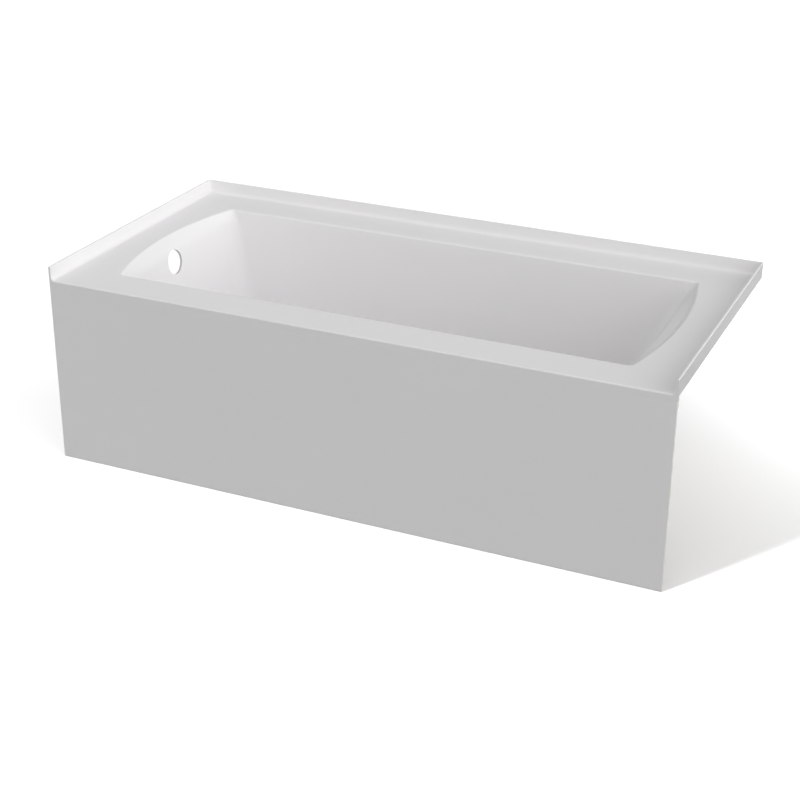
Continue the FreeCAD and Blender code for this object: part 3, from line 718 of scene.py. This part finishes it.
boardLook = {"chips": ((0.42, 0.30, 0.18), (0.60, 0.46, 0.30), (0.76, 0.62, 0.43)), "shadeScale": 40,
             "glue": (0.38, 0.27, 0.17), "stretch": (150, 230, 420), "turn": (0, 0, 0.5),
             "roughness": (0.62, 0.8)}


def makeBoard():
    # pressed chips: cells of random shade, long in the plane of the board, with darker glue between
    material, look = newMaterial("boardTimber"), boardLook
    chips = cells(material, objectPoints(material, look["stretch"], look["turn"]))
    shade = noise(material, chips["Position"], look["shadeScale"], detail=1)
    wood = ramp(material, shade, (0.3, 0.5, 0.68), look["chips"])
    glue = spread(material, chips["Distance"], 0, 1, fromLow=0.45, fromHigh=0.8)
    return finished(material, mixed(material, glue, wood, look["glue"]),
                    spread(material, shade, *look["roughness"]),
                    bump(material, chips["Distance"], strength=0.25, distance=0.0004))


galvanisedLook = {"crystals": ((0.46, 0.48, 0.50), (0.60, 0.62, 0.64), (0.74, 0.76, 0.78)),
                  "crystalScale": 170, "shadeScale": 30, "streak": (0.52, 0.53, 0.54), "streakScale": 28,
                  "streakShare": 0.5, "roughness": (0.26, 0.44), "streakRoughness": 0.12}


def makeGalvanised():
    # zinc crystals: flat cells, each with its own grey and its own gloss, and a few dull streaks
    material, look = newMaterial("railSteel"), galvanisedLook
    crystals = cells(material, objectPoints(material, (look["crystalScale"],) * 3))
    shade = noise(material, crystals["Position"], look["shadeScale"], detail=1)
    streak = noise(material, objectPoints(material), look["streakScale"])
    dull = spread(material, streak, 0, 1, fromLow=0.5, fromHigh=0.75)
    zinc = ramp(material, shade, (0.3, 0.5, 0.7), look["crystals"])
    share = maths(material, "MULTIPLY", dull, look["streakShare"])
    gloss = maths(material, "ADD", spread(material, shade, *look["roughness"]),
                  maths(material, "MULTIPLY", dull, look["streakRoughness"]))
    return finished(material, mixed(material, share, zinc, look["streak"]), gloss,
                    bump(material, streak, strength=0.1, distance=0.0004), Metallic=1.0)


zincLook = {"shades": ((0.56, 0.58, 0.60), (0.70, 0.71, 0.72), (0.80, 0.79, 0.74)), "cloudScale": 120,
            "fineScale": 1500, "roughness": (0.36, 0.22)}


def makeZinc():
    # bright zinc plating, slightly yellow in patches
    material, look = newMaterial("zincSteel"), zincLook
    points = objectPoints(material)
    cloud = noise(material, points, look["cloudScale"], detail=4)
    fine = noise(material, points, look["fineScale"], detail=1)
    return finished(material, ramp(material, cloud, (0.32, 0.52, 0.68), look["shades"]),
                    spread(material, cloud, *look["roughness"]),
                    bump(material, fine, strength=0.12, distance=0.0001), Metallic=1.0)


plasticLook = {"dark": (0.034, 0.034, 0.037), "paler": (0.055, 0.054, 0.055), "cloudScale": 45,
               "grainScale": 1100, "roughness": (0.42, 0.6)}


def makePlastic():
    # spark-eroded moulding grain, rougher on its high spots
    material, look = newMaterial("darkPlastic"), plasticLook
    points = objectPoints(material)
    grain = noise(material, points, look["grainScale"], detail=2)
    cloud = spread(material, noise(material, points, look["cloudScale"]), 0, 1)
    return finished(material, mixed(material, cloud, look["dark"], look["paler"]),
                    spread(material, grain, *look["roughness"]),
                    bump(material, grain, strength=0.3, distance=0.0002))


timbers = [makeTimber("timberAlong" + letter, axis) for axis, letter in enumerate("XYZ")]
railSteel, zincSteel, darkPlastic, boardTimber = makeGalvanised(), makeZinc(), makePlastic(), makeBoard()

# these CAD nodes stay in the scene and only get a finish
keptNodes = {"base_board": boardTimber, "front_rail": railSteel, "rail_end_caps": darkPlastic,
             **{f"cradle_rail_{number}": railSteel for number in range(1, 4)}}
for name, finish in keptNodes.items():
    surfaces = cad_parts[name].data.materials
    surfaces.clear()
    surfaces.append(finish)
print("materials of the frame are ready")


# the apron: its front is acrylic, its back the fibre laminate

apron = {"thickness": 6, "joggle": 12, "ease": 0.5, "innerEase": 2, "footEase": 3.5, "seamEase": 0.1,
         "lookingBack": 0.5, "tongueFrom": 0.2}


def makeApron():
    # the section of the sheet with its joggled tongue, carried from one end of the tub to the other
    low, high = nodeBox("apron_panel")
    front, back, seam = low[1], high[1], shell["deckHeight"] - shell["lipDepth"]
    middle, top = front + apron["thickness"], high[2]
    tongueLow = seam - apron["joggle"]
    corners = [(front, seam), (front, low[2]), (middle, low[2]), (middle, tongueLow - apron["joggle"]),
               (back, tongueLow), (back, top), (middle, top), (middle, seam)]
    ease, inner = apron["ease"], apron["innerEase"]
    eases = [ease, apron["footEase"], ease, inner, inner, ease, ease, apron["seamEase"]]
    outline, normals = easedOutline(corners, eases)
    mesh = carriedBar(outline, normals, 0, low[0], high[0], ease)
    # the laminate covers the faces that look back, by their normal's Y, and the tongue behind the sheet
    centre, facing = np.empty((2, len(mesh.polygons) * 3))
    mesh.polygons.foreach_get("center", centre)
    mesh.polygons.foreach_get("normal", facing)
    looksBack = facing.reshape(-1, 3)[:, 1] > apron["lookingBack"]
    inTongue = centre.reshape(-1, 3)[:, 1] / mm > middle + apron["tongueFrom"]
    mesh.polygons.foreach_set("material_index", (looksBack | inTongue).astype(np.int32))
    return mesh


addPiece("apronPanel", makeApron(), [apronAcrylic, glassLaminate], "tub", "apron_panel")

timberNodes = ["apron_sill", "apron_top_batten", *(f"apron_upright_{number}" for number in range(1, 5)),
               "rim_batten_front", "rim_batten_back", "rim_batten_drain_end", "rim_batten_backrest_end"]
for name in timberNodes:
    low, high = nodeBox(name)
    grain = int(np.argmax(high - low))
    title = "".join(part.capitalize() for part in name.split("_"))
    addPiece("timber" + title, squareBar(low, high), [timbers[grain]], "tub", name)
print("apron and timber are in place")


# levelling feet, nuts and screws

pad = {"columns": 96, "ringRadii": (8.5, 13.5, 18.5), "ringDepth": 0.9, "ringHalf": (0.8, 0.5), "sole": 23.8,
       "rim": [(24.6, 0.3), (25, 1.1), (25, 3.2), (24.7, 3.8), (24.1, 4.25)],
       "cone": [(21, 5.75), (17.5, 7.5), (14, 9.4), (11.4, 11.1)],
       "neck": [(10.6, 11.8), (9.9, 12), (7.3, 12), (6.8, 11.8)],
       "socket": [(6.5, 11.3), (6.5, 6), (0, 6)],
       "ribs": 24, "ribDepth": 0.45}

stud = {"columns": 32, "ball": 6.4, "ballEase": (0.8, 0.2), "ballRise": (0.25, 0.8), "collar": (12, 18),
        "crest": 5.0, "pitch": 1.5, "depth": 0.75, "stepsPerTurn": 6, "waveSlope": 2.6, "waveFlat": 0.3,
        "fade": 1.2, "plainLow": 0.6, "plainHigh": 0.4, "tip": 0.9}

nut = {"columns": 48, "corner": 9.8, "bore": 5.1, "leadIn": 0.6}

screw = {"columns": 40, "head": 4.5, "headDepth": 2.5, "dome": 0.9, "shank": 2.0, "ease": 0.2,
         "point": 1.0, "pointShare": 0.6, "sillCount": 4,
         "recess": {"depth": 1.3, "half": 0.75, "reach": 2.3, "slopes": (0.3, 0.5)},
         "rings": (0, 0.25, 0.5, 0.8, 1.1, 1.4, 1.7, 2.0, 2.4, 2.9, 3.4, 3.9, 4.3, 4.5)}


def makePad(middle):
    # the pad's section, with its edges eased and ring grooves in its sole, turned about the foot;
    # the cone between rim and socket has ribs: its radius falls by a cosine of the angle times ribs, cubed
    (wide, narrow), deep = pad["ringHalf"], pad["ringDepth"]
    rings = [(radius + aside, depth) for radius in pad["ringRadii"]
             for aside, depth in ((-wide, 0), (-narrow, deep), (narrow, deep), (wide, 0))]
    section = np.array([(0, 0), *rings, (pad["sole"], 0), *pad["rim"], *pad["cone"], *pad["neck"],
                        *pad["socket"]])
    radius, height = section.T
    coneEnds = [pad["cone"][-1][0], pad["cone"][-2][0], pad["cone"][0][0], pad["rim"][-1][0]]
    ribbed = np.interp(radius, coneEnds, [0, 1, 1, 0]) * (height > pad["rim"][-1][1])
    wave = (0.5 + 0.5 * np.cos(pad["ribs"] * fullTurn(pad["columns"]))) ** 3
    ribRadius = radius[:, None] - pad["ribDepth"] * ribbed[:, None] * wave
    return closedMesh([(turnedRows(ribRadius, height, pad["columns"]) + middle, True, 0)])


def makeStud(middle, low, high):
    # one closed turned surface: ball end, chamfered hexagon, and a thread whose radius falls from the crest
    # by its depth times a clipped triangle wave of height over pitch less angle over a full turn
    columns, pitch, crest = stud["columns"], stud["pitch"], stud["crest"]
    collarLow, collarHigh = stud["collar"]
    collar, collarHeight = chamferedHex(collarLow, collarHigh, nut["corner"], columns)
    height = np.arange(collarHigh, high - 0.01, pitch / stud["stepsPerTurn"])
    phase = (height[:, None] / pitch - fullTurn(columns) / (2 * math.pi)) % 1
    wave = np.clip(np.abs(phase - 0.5) * stud["waveSlope"] - stud["waveFlat"], 0, 1)
    fade = (np.clip((height - collarHigh - stud["plainLow"]) / stud["fade"], 0, 1)
            * np.clip((high - stud["plainHigh"] - height) / stud["fade"], 0, 1))
    tip = crest - stud["tip"] * (1 - np.clip(high - height, 0, 1))
    thread = np.minimum(crest - stud["depth"] * wave * fade[:, None], tip[:, None])
    ball, (wide, narrow), (lower, upper) = stud["ball"], stud["ballEase"], stud["ballRise"]
    plain = np.array([(0, low), (ball - wide, low), (ball - narrow, low + lower), (ball, low + upper),
                      (ball, collarLow - 0.1), (ball, collarLow)])
    radius = np.concatenate([np.repeat(plain[:, :1], columns, 1), collar, thread, np.zeros((1, columns))])
    heights = np.concatenate([plain[:, 1], collarHeight, height, height[-1:]])
    return closedMesh([(turnedRows(radius, heights, columns) + middle, True, 0)])


def makeNut(middle, low, high):
    # a chamfered hexagon outside and a bore with small lead-in chamfers, joined into one ring
    columns, bore, leadIn = nut["columns"], nut["bore"], nut["leadIn"]
    outside, height = chamferedHex(low, high, nut["corner"], columns)
    flat = np.full((1, columns), bore + leadIn)
    radius = np.concatenate([flat, outside, flat, np.full((2, columns), bore), flat])
    heights = np.concatenate([[low], height, [high, high - leadIn, low + leadIn, low]])
    return closedMesh([(turnedRows(radius, heights, columns) + middle, True, 0)])


def makeScrew(middle, length, fromBehind=False):
    # a domed head with a cross recess, on a plain shank; its head looks down, or back where it is driven
    # from behind. The recess deepens the dome near two lines through the middle
    columns, head, shank, ease = screw["columns"], screw["head"], screw["shank"], screw["ease"]
    headDepth, recess, angle = screw["headDepth"], screw["recess"], fullTurn(screw["columns"])
    edgeSlope, endSlope = recess["slopes"]
    ring = np.array(screw["rings"])[:, None]
    dome = screw["dome"] * (1 - np.sqrt(np.maximum(1 - (ring / head) ** 2, 0)))
    nearest = np.minimum(np.abs(ring * np.sin(angle)), np.abs(ring * np.cos(angle)))
    cross = (np.clip((recess["half"] - nearest) / edgeSlope, 0, 1)
             * np.clip((recess["reach"] - ring) / endSlope, 0, 1))
    front = together(ring * np.cos(angle), ring * np.sin(angle), dome + recess["depth"] * cross)
    back = turnedRows(
        np.array([head, head - ease, shank, shank, shank * screw["pointShare"], 0])[:, None],
        [headDepth - ease, headDepth, headDepth, length - screw["point"], length, length], columns)
    rows = np.concatenate([front, back])
    if fromBehind:
        rows = rows[..., [0, 2, 1]] * [1, -1, 1]
    return closedMesh([(rows + middle, True, 0)])


footPlaces = []
for number in range(1, 7):
    padNode, studNode, body = f"foot_pad_{number}", f"foot_stud_{number}", f"foot_{number}"
    low, high = nodeBox(padNode)
    place = (low + high) / 2 * [1, 1, 0]
    footPlaces.append(place)
    addPiece(f"footPad{number}", makePad(place), [darkPlastic], body, padNode, sharpAbove=40)
    low, high = nodeBox(studNode)
    addPiece(f"footStud{number}", makeStud(place, low[2], high[2]), [zincSteel], body, studNode)


def addFixings(name, node, meshes):
    addPiece(name, joined(meshes), [zincSteel], "tub", node)


for name, node in (("lockNuts", "foot_lock_nuts"), ("weldNuts", "weld_nuts")):
    low, high = nodeBox(node)
    addFixings(name, node, [makeNut(place, low[2], high[2]) for place in footPlaces])

low, high = nodeBox("base_board_screws")
railXs = sorted({float(place[0].round(2)) for place in footPlaces})
addFixings("boardScrews", "base_board_screws",
           [makeScrew(np.array([x, y, low[2]]), high[2] - low[2])
            for x in railXs for y in (low[1] + screw["head"], high[1] - screw["head"])])
low, high = nodeBox("sill_screws")
addFixings("sillScrews", "sill_screws",
           [makeScrew(np.array([x, high[1], (low[2] + high[2]) / 2]), high[1] - low[1], fromBehind=True)
            for x in np.linspace(low[0] + screw["head"], high[0] - screw["head"], screw["sillCount"])])
print("feet, nuts and screws are in place")


# floor, light and camera, all in metres

floorLook = {"size": 40.0, "shown": 0.80, "bounce": 0.08, "glow": 0.12}

# soft boxes far away: the middle's azimuth from +X and its elevation in degrees, tightness, strength
studio = {"even": 0.19, "boxes": [(0, 8, 6, 3.4), (-45, 30, 6, 0.6), (-90, 40, 6, 1.2), (180, 25, 6, 0.39)]}

# lamps that only the floor sees, so that the tub's shadow falls clearly behind it to one side
floorLamps = {"sun": {"strength": 2.85, "azimuth": -33, "elevation": 42, "softness": 5},
              "softLamp": {"power": 20, "place": (1.3, 1.3, 0.9), "size": 0.8}}


def seenBeyondDiffuse(material):
    # 1 for what the camera, a gloss or a clear piece sees, and 0 for light that falls on a surface
    path = addNode(material, "LightPath")
    sharp = maths(material, "MAXIMUM", path.outputs["Is Glossy Ray"], path.outputs["Is Transmission Ray"])
    return maths(material, "MAXIMUM", path.outputs["Is Camera Ray"], sharp)


def makeFloor():
    half = floorLook["size"] / 2
    corners = np.array([[-half, -half, 0], [half, -half, 0], [half, half, 0], [-half, half, 0]]) / mm
    mesh = meshOf([], [(corners, 0)])
    floor = bpy.data.objects.new("floor", mesh)
    bpy.context.scene.collection.objects.link(floor)
    material, look = newMaterial("paleFloor"), floorLook
    seen = seenBeyondDiffuse(material)
    pale = mixed(material, seen, (look["bounce"],) * 3, (look["shown"],) * 3)
    both = addNode(material, "AddShader")
    putIn(both, 0, addNode(material, "BsdfDiffuse", Color=pale).outputs[0])
    putIn(both, 1, addNode(material, "Emission", Strength=maths(
        material, "MULTIPLY", seen, look["glow"])).outputs[0])
    addNode(material, "OutputMaterial", Surface=both.outputs[0])
    mesh.materials.append(material)
    return floor


def makeWorld():
    # strength in a direction is an even part, plus for each box its strength times
    # the cosine of the angle from its middle to the power of its tightness
    world = bpy.data.worlds.new("studio")
    bpy.context.scene.world = world
    world.use_nodes = True
    background = world.node_tree.nodes["Background"]
    putIn(background, "Color", (1, 1, 1, 1))
    direction = addNode(world, "TexCoord").outputs["Generated"]
    total = studio["even"]
    for azimuth, elevation, tightness, strength in studio["boxes"]:
        around, up = math.radians(azimuth), math.radians(elevation)
        dot = addNode(world, "VectorMath", {"operation": "DOT_PRODUCT"})
        putIn(dot, 0, direction)
        putIn(dot, 1, (math.cos(around) * math.cos(up), math.sin(around) * math.cos(up), math.sin(up)))
        near = maths(world, "POWER", maths(world, "MAXIMUM", dot.outputs["Value"], 0.0), tightness)
        total = maths(world, "ADD", maths(world, "MULTIPLY", near, strength), total)
    putIn(background, "Strength", mixed(world, seenBeyondDiffuse(world), total, (1, 1, 1)))


def makeFloorLamps(floor):
    group = bpy.data.collections.new("litByFloorLamps")
    group.objects.link(floor)
    sun, soft = floorLamps["sun"], floorLamps["softLamp"]
    sunData, softData = bpy.data.lights.new("sun", "SUN"), bpy.data.lights.new("softLamp", "AREA")
    sunData.energy, sunData.angle = sun["strength"], math.radians(sun["softness"])
    softData.energy, softData.size = soft["power"], soft["size"]
    sunLamp, softLamp = bpy.data.objects.new("sun", sunData), bpy.data.objects.new("softLamp", softData)
    sunLamp.rotation_euler = (math.radians(90 - sun["elevation"]), 0, math.radians(sun["azimuth"]))
    softLamp.location = soft["place"]
    for lamp in (sunLamp, softLamp):
        lamp.light_linking.receiver_collection = group
        bpy.context.scene.collection.objects.link(lamp)


view = {"place": (1.4709, -3.3494, 1.8631), "azimuth": 23.997, "elevation": 25.165, "roll": 0.403,
        "focalPixels": 1641.6, "framePixels": 800}


def makeCamera():
    # the camera looks down its own -Z; azimuth 0 looks along +Y, and roll turns it about its line of sight
    data = bpy.data.cameras.new("photoView")
    data.sensor_width = 36
    data.lens = data.sensor_width * view["focalPixels"] / view["framePixels"]
    data.clip_end = 100
    camera = bpy.data.objects.new("photoView", data)
    level = Euler((math.radians(90 - view["elevation"]), 0, math.radians(view["azimuth"]))).to_matrix()
    camera.rotation_euler = (level @ Matrix.Rotation(math.radians(view["roll"]), 3, "Z")).to_euler()
    camera.location = view["place"]
    bpy.context.scene.collection.objects.link(camera)
    bpy.context.scene.camera = camera


makeWorld()
makeFloorLamps(makeFloor())
makeCamera()
bpy.context.scene.view_settings.view_transform = "Standard"
print("floor, light and camera are set")
